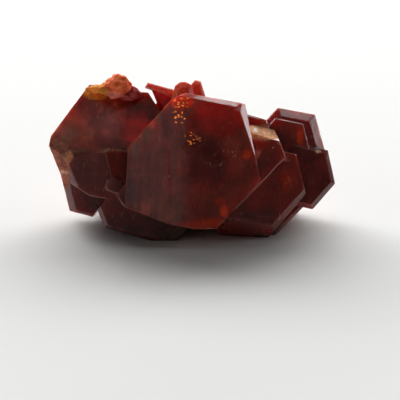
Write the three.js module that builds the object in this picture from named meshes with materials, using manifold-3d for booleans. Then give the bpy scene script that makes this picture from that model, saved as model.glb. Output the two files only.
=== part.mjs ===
// A vanadinite specimen: hexagonal tablets that grew together in nearly one direction, as one solid.
// Units are millimetres, +Z is up, and the specimen rests on the flat scar where it left its rock.
//
// The tablets are laid out in the growth frame: x to the right, y away from the broad front face,
// z up that face. The whole cluster then leans back and is cut off level.
import * as THREE from "three";
import { mergeVertices } from "three/addons/utils/BufferGeometryUtils.js";
import Module from "manifold-3d";

const wasm = await Module();
wasm.setup();

// Driving dimensions
const leanBack = 20; // degrees that the broad face looks upwards
const scarLevel = -6.7; // height of the level cut under the leaning cluster
const pyramidAngle = 39.4; // degrees between a pyramid face and the broad face
const lumpRoughness = 0.2; // share of a lump's half size that its corners move
const cutterSize = 40; // edge of the blocks that cut facets and the scar

// Each tablet: the centre of its broad face, its prism faces as [direction, reach] seen from the
// front, its thickness and the width of its pyramid faces. Directions are degrees from +x towards +z.
// A facet [direction, slope, reach] falls away from the broad face past that reach.
const frontTablets = {
  main: {
    at: [-0.04, 0, -0.42],
    sides: [[10.9, 4.94], [80, 5.12], [113, 5.0], [138, 4.29], [177, 4.87], [187, 5.31],
      [220, 5.9], [248, 5.07], [258.5, 4.99], [272, 5.16], [317.3, 4.9]],
    thickness: 3.4,
    bevel: 0.08,
    facets: [[76.4, 39.4, 4.76], [17.7, 44, 4.63], [0, 2.2, -0.4], [180, 2.6, 0.4]],
  },
  mainStep: {
    at: [-4.6, 0.8, -1.6],
    sides: [[14, 2.4], [80, 1.9], [137, 2.9], [194, 1.52], [212.5, 1.76], [250, 2.4], [300, 2.3]],
    thickness: 2.8,
    bevel: 0.07,
    facets: [[200, 9, -1.2]],
  },
  mainStepKnob: {
    at: [-6.1, 1.02, -2.25],
    sides: [[20, 0.8], [70, 0.62], [118, 0.6], [165, 0.54], [205, 0.56], [250, 0.48], [320, 0.9]],
    thickness: 1.8,
    bevel: 0.12,
  },
  leftPlate: {
    at: [-6.65, 1.5, 1.36],
    sides: [[32, 4.72], [82, 4.12], [144.5, 3.68], [202, 4.3], [226, 4.22], [260, 4.72], [320, 4.4]],
    thickness: 4.6,
    bevel: 0.07,
    facets: [[202, 38, 3.32], [90, 27, -0.92], [64, 29.6, -0.39], [81.2, 38.3, 0.29],
      [106.4, 28, -0.66]],
  },
  leftFoot: {
    at: [-7.95, 2.5, -2.25],
    sides: [[15, 2.6], [75, 2.4], [135, 2.2], [193.7, 2.02], [255.4, 2.32], [323, 1.66]],
    thickness: 3.4,
    bevel: 0.42,
  },
  bottomPlate: {
    at: [-4.0, 1.5, -2.98],
    sides: [[12, 3.4], [74, 2.6], [140, 3.0], [202, 3.52], [254, 3.16], [270, 3.6], [318, 4.5]],
    thickness: 3.6,
    bevel: 0.36,
  },
  rightStep: {
    at: [2.79, 0.75, -0.88],
    sides: [[21, 4.47], [74.5, 4.22], [140, 3.2], [200, 3.0], [260, 3.0], [316, 2.68]],
    thickness: 3.0,
    bevel: 0.07,
    facets: [[73, 62, 3.1]],
  },
  rightLedge: {
    at: [3.32, 2.2, -0.65],
    sides: [[17, 3.5], [74.2, 4.06], [134, 3.4], [194, 3.4], [254, 3.4], [314, 3.4]],
    thickness: 3.4,
    bevel: 0.16,
  },
  rightFoot: {
    at: [5.6, 1.4, -2.2],
    sides: [[14, 3.0], [74.7, 2.92], [134, 3.6], [210, 4.95], [260.5, 4.6], [319.5, 2.94]],
    thickness: 3.6,
    bevel: 0.07,
    facets: [[317.5, 39.4, 2.4], [260.5, 39.4, 3.0], [205, 34, 3.6]],
  },
  rightFootBack: {
    at: [5.9, 2.6, -2.3],
    sides: [[14, 2.6], [74, 2.6], [134, 3.0], [200, 3.4], [262, 3.8], [315, 3.2]],
    thickness: 3.6,
    bevel: 0.2,
  },
  rightTop: {
    at: [7.28, 2.35, 0.11],
    sides: [[14, 1.98], [78, 2.66], [138, 2.46], [198, 2.4], [258, 2.2], [318, 2.2]],
    thickness: 2.6,
    bevel: 0.07,
  },
  rightBack: {
    at: [7.84, 2.65, 0.36],
    sides: [[15.3, 2.56], [79.3, 3.2], [137.7, 3.1], [198, 3.0], [258, 3.0], [318, 3.0]],
    thickness: 3.9,
    bevel: 0.62,
  },
  rightSide: {
    at: [8.46, 2.3, -1.66],
    sides: [[12.3, 2.6], [75, 2.62], [135, 2.5], [195, 2.5], [257, 2.2], [318.7, 2.4]],
    thickness: 4.2,
    bevel: 0.38,
  },
  topBack: {
    at: [-0.91, 4.2, 2.49],
    sides: [[15, 3.2], [74.7, 2.6], [134, 3.6], [202.6, 0.99], [255, 2.6], [315, 3.0]],
    thickness: 3.0,
    bevel: 0.3,
  },
  topBeak: {
    at: [-2.1, 4.0, 4.84],
    sides: [[0, 1.2], [74.7, 0.62], [150, 1.66], [222, 0.6], [270, 0.9]],
    thickness: 1.6,
    bevel: 0.12,
  },
  topKnobLeft: {
    at: [-0.68, 3.3, 4.72],
    sides: [[20, 0.98], [62, 1.14], [92, 1.14], [125, 1.05], [165, 0.8], [250, 1.2], [310, 1.2]],
    thickness: 2.4,
    bevel: 0.4,
  },
  topKnobRight: {
    at: [0.37, 3.6, 4.72],
    sides: [[17, 0.72], [80, 1.26], [140, 0.9], [200, 0.8], [260, 1.2], [320, 1.1]],
    thickness: 2.6,
    bevel: 0.25,
  },
};

// The tablets behind: a turn of 180 faces straight away from the front.
const backTablets = {
  heart: {
    at: [0.7, 2.8, -0.9],
    sides: [[17, 4.3], [77, 4.4], [137, 4.0], [197, 5.8], [262, 4.56], [317, 4.5]],
    thickness: 6.0,
    bevel: 0.3,
  },
  heartLeft: {
    at: [-6.0, 4.2, 0.3],
    sides: [[17, 3.8], [77, 3.6], [137, 3.3], [197, 3.2], [257, 4.0], [317, 3.6]],
    thickness: 3.4,
    bevel: 0.35,
  },
  backMain: {
    at: [1.4, 9.6, -1.1],
    sides: [[22, 4.2], [82, 4.0], [142, 4.3], [202, 3.9], [262, 4.4], [322, 4.1]],
    thickness: 4.0,
    bevel: 0.5,
    yaw: 174,
  },
  backStep: {
    at: [2.6, 10.2, -1.9],
    sides: [[20, 2.7], [80, 2.4], [140, 2.6], [200, 2.5], [260, 3.2], [320, 2.9]],
    thickness: 2.4,
    bevel: 0.25,
    yaw: 174,
  },
  backLeft: {
    at: [-5.2, 8.6, -0.6],
    sides: [[12, 3.3], [72, 3.5], [132, 3.3], [192, 3.4], [252, 3.6], [312, 3.4]],
    thickness: 3.8,
    bevel: 0.45,
    yaw: 199,
    pitch: 5,
  },
  backLeftSmall: {
    at: [-7.5, 7.2, -2.1],
    sides: [[25, 1.9], [85, 1.8], [145, 2.0], [205, 1.8], [265, 2.1], [325, 1.9]],
    thickness: 2.6,
    bevel: 0.3,
    yaw: 222,
  },
  backRight: {
    at: [7.0, 7.9, -1.5],
    sides: [[16, 2.9], [76, 2.8], [136, 3.0], [196, 2.8], [256, 3.1], [316, 2.9]],
    thickness: 3.6,
    bevel: 0.4,
    yaw: 157,
  },
  backTop: {
    at: [-1.5, 8.2, 2.2],
    sides: [[28, 2.1], [88, 1.9], [148, 2.2], [208, 2.1], [268, 2.0], [328, 2.1]],
    thickness: 3.0,
    bevel: 0.35,
    yaw: 186,
    pitch: 12,
  },
  backTopSmall: {
    at: [3.6, 7.6, 1.9],
    sides: [[15, 1.2], [75, 1.3], [135, 1.2], [195, 1.4], [255, 1.3], [315, 1.2]],
    thickness: 2.6,
    bevel: 0.22,
    yaw: 160,
    pitch: 18,
  },
  backRightSmall: {
    at: [8.6, 6.6, 0.5],
    sides: [[20, 1.4], [80, 1.5], [140, 1.4], [200, 1.5], [260, 1.6], [320, 1.4]],
    thickness: 2.6,
    bevel: 0.25,
    yaw: 140,
    pitch: 6,
  },
  backLeftStep: {
    at: [-4.4, 9.15, -1.6],
    sides: [[12, 2.0], [72, 1.8], [132, 1.9], [192, 2.1], [252, 2.2], [312, 2.0]],
    thickness: 2.2,
    bevel: 0.2,
    yaw: 199,
    pitch: 5,
  },
  leftEdge: {
    at: [-9.9, 4.6, -0.6],
    sides: [[22, 1.5], [82, 1.4], [142, 1.5], [202, 1.4], [262, 1.6], [322, 1.5]],
    thickness: 2.8,
    bevel: 0.28,
    yaw: 262,
  },
};

// Bruised lumps where growth was broken off and healed: centre and half sizes in the growth frame.
const lumps = [
  { at: [-5.75, 3.7, 5.5], size: [1.1, 1.15, 1.1] },
  { at: [-4.75, 4.0, 5.0], size: [1.1, 1.0, 0.72] },
  { at: [-6.7, 4.0, 5.0], size: [0.85, 0.95, 0.6] },
  { at: [-7.45, 4.1, 5.02], size: [0.6, 0.8, 0.46] },
  { at: [-8.1, 4.1, 4.85], size: [0.4, 0.6, 0.36] },
];

function radians(degrees) {
  return (degrees * Math.PI) / 180;
}

// A closed geometry as a solid that can be joined and cut.
function solid(geometry) {
  const bare = geometry.clone();
  bare.deleteAttribute("normal");
  bare.deleteAttribute("uv");
  const merged = mergeVertices(bare, 1e-4);
  const mesh = new wasm.Mesh({
    numProp: 3,
    vertProperties: merged.attributes.position.array,
    triVerts: new Uint32Array(merged.index.array),
  });
  return new wasm.Manifold(mesh);
}

// The corners of a convex outline, each where one side's line meets the next one's.
function corners(sides) {
  return sides.map(([direction, reach], i) => {
    const [nextDirection, nextReach] = sides[(i + 1) % sides.length];
    const a = radians(direction);
    const b = radians(nextDirection);
    const x = reach * Math.sin(b) - nextReach * Math.sin(a);
    const y = nextReach * Math.cos(a) - reach * Math.cos(b);
    return new THREE.Vector2(x, y).divideScalar(Math.sin(b - a));
  });
}

// The block that takes away what lies past a facet, in the tablet's own frame (face at z = 0).
function facetCutter([direction, slope, reach]) {
  const block = new THREE.BoxGeometry(cutterSize, cutterSize, cutterSize);
  block.translate(0, 0, cutterSize / 2);
  block.rotateY(radians(slope));
  block.translate(reach, 0, 0);
  block.rotateZ(radians(direction));
  return solid(block);
}

// One tablet, placed in the growth frame.
function tablet({ at, sides, thickness, bevel, facets = [], yaw = 0, pitch = 0 }) {
  const rise = bevel * Math.tan(radians(pyramidAngle));
  const geometry = new THREE.ExtrudeGeometry(new THREE.Shape(corners(sides)), {
    depth: thickness - 2 * rise,
    bevelSize: bevel,
    bevelOffset: -bevel,
    bevelThickness: rise,
    bevelSegments: 1,
  });
  geometry.translate(0, 0, rise - thickness);
  let made = solid(geometry);
  for (const facet of facets) {
    made = made.subtract(facetCutter(facet));
  }
  const place = new THREE.Matrix4()
    .makeTranslation(...at)
    .multiply(new THREE.Matrix4().makeRotationZ(radians(yaw)))
    .multiply(new THREE.Matrix4().makeRotationX(radians(90 + pitch)));
  return made.transform(place.elements);
}

function join(solids) {
  return solids.reduce((whole, piece) => whole.add(piece));
}

// A rough lump: a low round solid whose corners are pushed in and out unevenly.
function lump({ at, size }) {
  const geometry = new THREE.IcosahedronGeometry(1, 1);
  const position = geometry.attributes.position;
  const corner = new THREE.Vector3();
  for (let i = 0; i < position.count; i += 1) {
    corner.fromBufferAttribute(position, i);
    const { x, y, z } = corner;
    const push = 1 + lumpRoughness * Math.sin(5 * x + 3 * z + at[0]) * Math.cos(4 * y - 3 * x);
    corner.multiplyScalar(push);
    position.setXYZ(i, corner.x, corner.y, corner.z);
  }
  geometry.scale(...size);
  geometry.translate(...at);
  return solid(geometry);
}

function cluster() {
  const tablets = [...Object.values(frontTablets), ...Object.values(backTablets)];
  const grown = join([...tablets.map(tablet), ...lumps.map(lump)]);
  const lean = new THREE.Matrix4().makeRotationX(radians(-leanBack));
  const scar = new THREE.BoxGeometry(cutterSize, cutterSize, cutterSize);
  scar.translate(0, 0, scarLevel - cutterSize / 2);
  return grown.transform(lean.elements).subtract(solid(scar));
}

function geometryOf(made) {
  const { vertProperties, triVerts } = made.getMesh();
  const geometry = new THREE.BufferGeometry();
  geometry.setAttribute("position", new THREE.BufferAttribute(new Float32Array(vertProperties), 3));
  geometry.setIndex(new THREE.BufferAttribute(new Uint32Array(triVerts), 1));
  return geometry;
}

const crystalMaterial = new THREE.MeshStandardMaterial({
  color: 0x6b1a14,
  roughness: 0.25,
  metalness: 0,
});

const geometry = geometryOf(cluster());
geometry.computeBoundingBox();
const { min, max } = geometry.boundingBox;
geometry.translate(-(min.x + max.x) / 2, -(min.y + max.y) / 2, -min.z);
const crystalCluster = new THREE.Mesh(geometry, crystalMaterial);
crystalCluster.name = "crystal_cluster";

const specimen = new THREE.Group();
specimen.add(crystalCluster);

export default specimen;
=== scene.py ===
import math
from itertools import combinations

import bpy
import numpy as np
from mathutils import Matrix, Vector


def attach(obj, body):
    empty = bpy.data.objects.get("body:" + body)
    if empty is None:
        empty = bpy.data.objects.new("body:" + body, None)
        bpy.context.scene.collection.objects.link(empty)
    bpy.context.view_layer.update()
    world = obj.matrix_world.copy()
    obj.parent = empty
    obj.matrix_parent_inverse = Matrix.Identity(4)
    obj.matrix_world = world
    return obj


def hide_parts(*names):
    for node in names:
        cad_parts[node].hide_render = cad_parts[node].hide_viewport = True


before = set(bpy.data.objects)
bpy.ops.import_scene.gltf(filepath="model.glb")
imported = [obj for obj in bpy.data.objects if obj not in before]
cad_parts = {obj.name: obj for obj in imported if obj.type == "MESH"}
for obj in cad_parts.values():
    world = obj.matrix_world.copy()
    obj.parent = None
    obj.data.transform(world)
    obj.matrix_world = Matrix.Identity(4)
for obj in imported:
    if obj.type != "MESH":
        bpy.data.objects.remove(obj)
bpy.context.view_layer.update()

mm = 0.001

# The specimen: where its growth frame sits, and how its surface is cut up and worn.
# Growth frame in millimetres: x right, y away from the broad front face, z up that face.
specimen = {
    "leanBack": 20.0,  # degrees that the broad face looks upwards
    "growthOrigin": (0.009, -4.063, 6.7),  # the growth frame's origin above the scar, mm
    "bevel": 0.07,  # usual width of a pyramid face, mm
    "pyramidAngle": 39.4,  # degrees between a pyramid face and the broad face
    "edgeWear": (0.014, 0.036),  # least and most width worn off each side of an edge, mm
    "wornShare": 0.4,  # most of an edge's length that wear takes at each end
    "nickDepth": 0.03,  # deepest nick in a worn edge, mm
    "nickSize": 0.42,  # length of a nick, mm
    "nickLevel": (0.3, 0.75),  # noise at which a nick starts, and at which it is full
    "nickReach": 0.07,  # how far in from an edge a nick reaches, mm
    "nickBlend": 0.06,  # how near a face has to be to steer a nick inwards, mm
    "reliefBorder": 0.3,  # how far in from an edge a face's relief is full, mm
    "swell": 0.0035,  # slow rise and fall of a growth face, mm
    "swellSize": 1.7,
    "streak": 0.0016,  # growth streaks that run up a face, mm
    "streakSize": (0.30, 9.0, 1.0),
    "terrace": 0.0022,  # height of a growth terrace on a broad face, mm
    "terraceSpacing": 1.25,  # distance between terraces in from the edge, mm
    "terraceWave": (0.2, 2.3),  # how much terraces stray, in spacings, and over how many mm
    "terraceRiser": 0.12,  # share of the spacing that a terrace's riser takes up
    "striation": 0.0035,  # lines across the prism faces, mm
    "striationSize": (9.0, 9.0, 0.2),
    "wearAndHighlightWidth": 0.05,  # mm, how far the pale edge reaches, partly wear and partly a painted highlight
    "sameFace": 0.93,  # cosine past which two faces share one edge that isn't worn
    "crease": 13.0,  # degrees past which an edge is drawn sharp
    "frontGrain": 0.28,  # longest edge of a front tablet's surface mesh, mm
    "backGrain": 0.5,
    "backCloud": 0.3,  # how milky the tablets behind are
}

# Each tablet: the centre of its broad face, its prism faces as (direction, reach) seen from the
# front, its thickness and the width of its pyramid faces. Directions are degrees from +x to +z.
# A facet (direction, slope, reach) falls away from the broad face past that reach.
# A grain of its own replaces the usual one, and cloud is how milky it is (0 clear, 1 cloudy).
frontTablets = {
    "main": {
        "at": (-0.04, 0.01, -0.42),
        "sides": [(10.9, 4.94), (80, 5.12), (113, 5.0), (138, 4.29), (177, 4.87), (187, 5.31),
                  (220, 5.9), (248, 5.07), (258.5, 4.99), (272, 5.16), (317.3, 4.9)],
        "thickness": 3.4, "bevel": 0.08, "grain": 0.17, "cloud": 0.54, "drawn": 0.2,
        "facets": [(76.4, 39.4, 4.76), (17.7, 44, 4.63), (0, 1.1, 0.2), (0, 2.2, 0.5),
                   (180, 1.3, -0.2), (180, 2.6, 0.1)],
    },
    "mainHeel": {
        "at": (-4.6, 0.3, -3.0),
        "sides": [(0, 1.5), (60, 1.6), (110, 1.3), (141, 0.96), (193, 1.0), (206.5, 0.965), (231, 0.975),
                  (260, 1.0), (310, 1.2)],
        "thickness": 2.2, "grain": 0.14, "cloud": 0.5, "drawn": 0.5,
    },
    "mainStep": {
        "at": (-4.6, 0.8, -1.6),
        "sides": [(14, 2.4), (80, 1.9), (137, 2.9), (194, 1.52), (212.5, 1.76), (250, 2.4),
                  (300, 2.3)],
        "thickness": 2.8, "facets": [(200, 9, -1.2)], "pigment": "wine", "cloud": 0.3,
    },
    "mainStepKnob": {
        "at": (-6.1, 1.02, -2.25),
        "sides": [(20, 0.8), (70, 0.62), (118, 0.6), (165, 0.54), (205, 0.56), (250, 0.48),
                  (320, 0.9)],
        "thickness": 1.8, "bevel": 0.1, "pigment": "maroon", "cloud": 0.5, "dull": 0.6,
    },
    "leftPlate": {
        "at": (-6.65, 1.5, 1.36),
        "sides": [(32, 4.72), (82, 4.12), (144.5, 3.68), (172, 4.32), (202, 4.3),
                  (236, 4.34), (259, 4.55), (320, 4.4)],
        "thickness": 4.6, "cloud": 0.55, "dull": 0.2,
        "facets": [(202, 38, 3.32), (90, 27, -0.92), (64, 29.6, -0.39), (81.2, 38.3, 0.29),
                   (106.4, 28, -0.66)],
    },
    "leftFoot": {
        "at": (-7.95, 2.5, -2.25), "thickness": 3.4, "pigment": "maroon", "cloud": 0.45,
        "sides": [(15, 2.6), (75, 2.4), (135, 2.2), (193.7, 2.02), (255.4, 2.32), (323, 1.66)],
        "facets": [(193.7, 39.4, 1.45), (255.4, 39.4, 2.14)],
    },
    "bottomPlate": {
        "at": (-4.0, 1.5, -2.98), "thickness": 3.6, "pigment": "maroon",
        "sides": [(12, 3.4), (74, 2.6), (143, 1.95), (202, 3.5), (254, 3.16), (270, 3.6),
                  (318, 4.5)],
        "facets": [(202, 39.4, 3.16), (254, 39.4, 2.9), (270, 39.4, 3.36)],
    },
    "rightStep": {
        "at": (2.79, 0.75, -0.88), "thickness": 3.0, "facets": [(73, 62, 3.1)],
        "sides": [(21, 4.47), (74.5, 4.22), (140, 3.2), (200, 3.0), (260, 3.0), (316, 2.68)],
    },
    "rightLedge": {
        "at": (3.32, 2.2, -0.65), "thickness": 3.4, "bevel": 0.16,
        "sides": [(17, 3.5), (74.2, 4.06), (134, 3.4), (194, 3.4), (254, 3.4), (314, 3.4)],
    },
    "rightFoot": {
        "at": (5.6, 1.4, -2.2), "thickness": 3.6,
        "sides": [(14, 3.0), (74.7, 2.92), (134, 3.6), (210, 4.95), (260.5, 4.6), (319.5, 2.94)],
        "facets": [(317.5, 39.4, 2.55), (260.5, 39.4, 3.0), (205, 34, 3.6)],
    },
    "rightFootBack": {
        "at": (5.9, 2.6, -2.3), "thickness": 3.6, "bevel": 0.2,
        "sides": [(14, 2.6), (74, 2.6), (134, 3.0), (200, 3.4), (262, 3.8), (315, 3.2)],
    },
    "rightTop": {
        "at": (7.28, 2.35, 0.11), "thickness": 2.6,
        "sides": [(14, 1.98), (78, 2.66), (138, 2.46), (198, 2.4), (258, 2.2), (318, 2.2)],
    },
    "rightBack": {
        "at": (7.84, 2.65, 0.36),
        "sides": [(15.3, 2.56), (79.3, 3.2), (137.7, 3.1), (198, 3.0), (258, 3.0), (318, 3.0)],
        "thickness": 3.9, "bevel": 0.62, "pigment": "wine", "cloud": 0.7, "dull": 0.3,
    },
    "rightSide": {
        "at": (8.46, 2.3, -1.66), "thickness": 4.2, "bevel": 0.34, "pigment": "maroon", "cloud": 0.45,
        "sides": [(12.3, 2.6), (75, 2.62), (135, 2.5), (195, 2.5), (257, 2.2), (318.7, 2.4)],
    },
    "topBack": {
        "at": (-0.91, 4.2, 2.49), "thickness": 3.0, "bevel": 0.3, "pigment": "red", "cloud": 0.5,
        "sides": [(15, 3.2), (74.7, 2.6), (134, 3.6), (202.6, 0.99), (255, 2.6), (315, 3.0)],
    },
    "topBeak": {
        "at": (-2.1, 4.0, 4.84),
        "sides": [(0, 1.2), (74.7, 0.62), (150, 1.66), (250, -0.04)],
        "thickness": 1.6, "bevel": 0.12, "pigment": "blush", "cloud": 0.8, "dull": 0.3,
    },
    "topKnobLeft": {
        "at": (-0.68, 3.3, 4.72),
        "sides": [(20, 0.98), (62, 1.14), (92, 1.14), (125, 1.05), (165, 0.8), (250, 1.2),
                  (310, 1.2)],
        "thickness": 2.4, "bevel": 0.4, "cloud": 0.7, "pigment": "apricot", "dull": 0.3,
    },
    "topKnobRight": {
        "at": (0.37, 3.6, 4.72),
        "sides": [(17, 0.72), (80, 1.26), (140, 0.9), (200, 0.8), (260, 1.2), (320, 1.1)],
        "thickness": 2.6, "bevel": 0.25, "cloud": 0.7, "pigment": "apricot", "dull": 0.3,
    },
}

# The tablets behind: a yaw of 180 faces straight away from the front. A tablet with prism faces
# 60 degrees apart has the direction of the first one as its turn, and the reach of each.
backTablets = {
    "heart": {
        "at": (0.7, 2.8, -0.9), "thickness": 6.0, "bevel": 0.3,
        "sides": [(17, 4.3), (77, 4.4), (137, 4.0), (197, 5.8), (262, 4.56), (317, 4.5)],
    },
    "heartLeft": {
        "at": (-6.0, 4.2, 0.3), "thickness": 3.4, "bevel": 0.35,
        "turn": 17, "reach": (3.8, 3.6, 3.3, 3.2, 4.0, 3.6),
    },
    "backMain": {
        "at": (1.4, 9.6, -1.1), "thickness": 4.0, "bevel": 0.5, "yaw": 174,
        "turn": 22, "reach": (4.2, 4.0, 4.3, 3.9, 4.4, 4.1),
    },
    "backStep": {
        "at": (2.6, 10.2, -1.9), "thickness": 2.4, "bevel": 0.25, "yaw": 174,
        "turn": 20, "reach": (2.7, 2.4, 2.6, 2.5, 3.2, 2.9),
    },
    "backLeft": {
        "at": (-5.2, 8.6, -0.6), "thickness": 3.8, "bevel": 0.45, "yaw": 199, "pitch": 5,
        "turn": 12, "reach": (3.3, 3.5, 3.3, 3.4, 3.6, 3.4),
    },
    "backLeftSmall": {
        "at": (-7.5, 7.2, -2.1), "thickness": 2.6, "bevel": 0.3, "yaw": 222,
        "turn": 25, "reach": (1.9, 1.8, 2.0, 1.8, 2.1, 1.9),
    },
    "backRight": {
        "at": (7.0, 7.9, -1.5), "thickness": 3.6, "bevel": 0.4, "yaw": 157,
        "turn": 16, "reach": (2.9, 2.8, 3.0, 2.8, 3.1, 2.9),
    },
    "backTop": {
        "at": (-1.5, 8.2, 2.2), "thickness": 3.0, "bevel": 0.35, "yaw": 186, "pitch": 12,
        "turn": 28, "reach": (2.1, 1.9, 2.2, 2.1, 2.0, 2.1),
    },
    "backTopSmall": {
        "at": (3.6, 7.6, 1.9), "thickness": 2.6, "bevel": 0.22, "yaw": 160, "pitch": 18,
        "turn": 15, "reach": (1.2, 1.3, 1.2, 1.4, 1.3, 1.2),
    },
    "backRightSmall": {
        "at": (8.6, 6.6, 0.5), "thickness": 2.6, "bevel": 0.25, "yaw": 140, "pitch": 6,
        "turn": 20, "reach": (1.4, 1.5, 1.4, 1.5, 1.6, 1.4),
    },
    "backLeftStep": {
        "at": (-4.4, 9.15, -1.6), "thickness": 2.2, "bevel": 0.2, "yaw": 199, "pitch": 5,
        "turn": 12, "reach": (2.0, 1.8, 1.9, 2.1, 2.2, 2.0),
    },
    "leftEdge": {
        "at": (-9.9, 4.6, -0.6), "thickness": 2.8, "bevel": 0.28, "yaw": 262,
        "turn": 22, "reach": (1.5, 1.4, 1.5, 1.4, 1.6, 1.5),
    },
}
for tablet in backTablets.values():
    if "turn" in tablet:
        tablet["sides"] = [(tablet["turn"] + 60 * side, reach)
                           for side, reach in enumerate(tablet["reach"])]

# Bruised lumps of crust where growth was broken off and healed: centre and half sizes in the
# growth frame.
lumps = {
    "crownLump": {"at": (-5.75, 3.7, 5.48), "size": (1.08, 1.12, 0.9), "pigment": "apricot"},
    "crownShoulder": {"at": (-4.85, 4.2, 4.95), "size": (1.0, 1.0, 0.62), "pigment": "wine"},
    "ochreLump": {"at": (-6.65, 4.0, 5.34), "size": (0.8, 0.9, 0.5), "pigment": "ochre"},
    "ochreSide": {"at": (-7.4, 4.1, 5.34), "size": (0.58, 0.8, 0.4), "pigment": "ochre"},
    "ochreEnd": {"at": (-8.0, 4.1, 5.2), "size": (0.36, 0.6, 0.3), "pigment": "ochre"},
}
lumpSurface = {"push": 0.06, "crumb": 0.12, "crumbSize": 0.55, "grit": 0.11, "gritSize": 0.28,
               "grain": 0.10}

# Pigments of the milky part and of the crust. Flame, ember and scarlet paint glows of light shining
# through thin places, and frost paints a glint.
pigments = {
    "deep": "#b8493c", "red": "#dc3628", "wine": "#a83a38", "maroon": "#8e3a30", "rust": "#d66044",
    "rose": "#ea7a72", "blush": "#d87868", "salmon": "#ec8a78", "flame": "#ff5426",
    "ember": "#e0482c", "ochre": "#f29c46", "earth": "#e4a27a", "pale": "#f0c8b4",
    "apricot": "#ff7e50", "umber": "#b4705c", "matrix": "#5c4c42", "frost": "#fff0e6",
    "scarlet": "#ff3424",
}

# How a tablet looks where nothing else is said: cloud is how milky it is, dull how unpolished, drawn how
# much it shows growth streaks, spark how many flakes glint in it, each flake partly a painted orange
# glint, crust how much of it is rough stained crust.
plain = {"pigment": "deep", "cloud": 0.42, "dull": 0.12, "drawn": 0.1, "spark": 0.0, "crust": 0.0}

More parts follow.
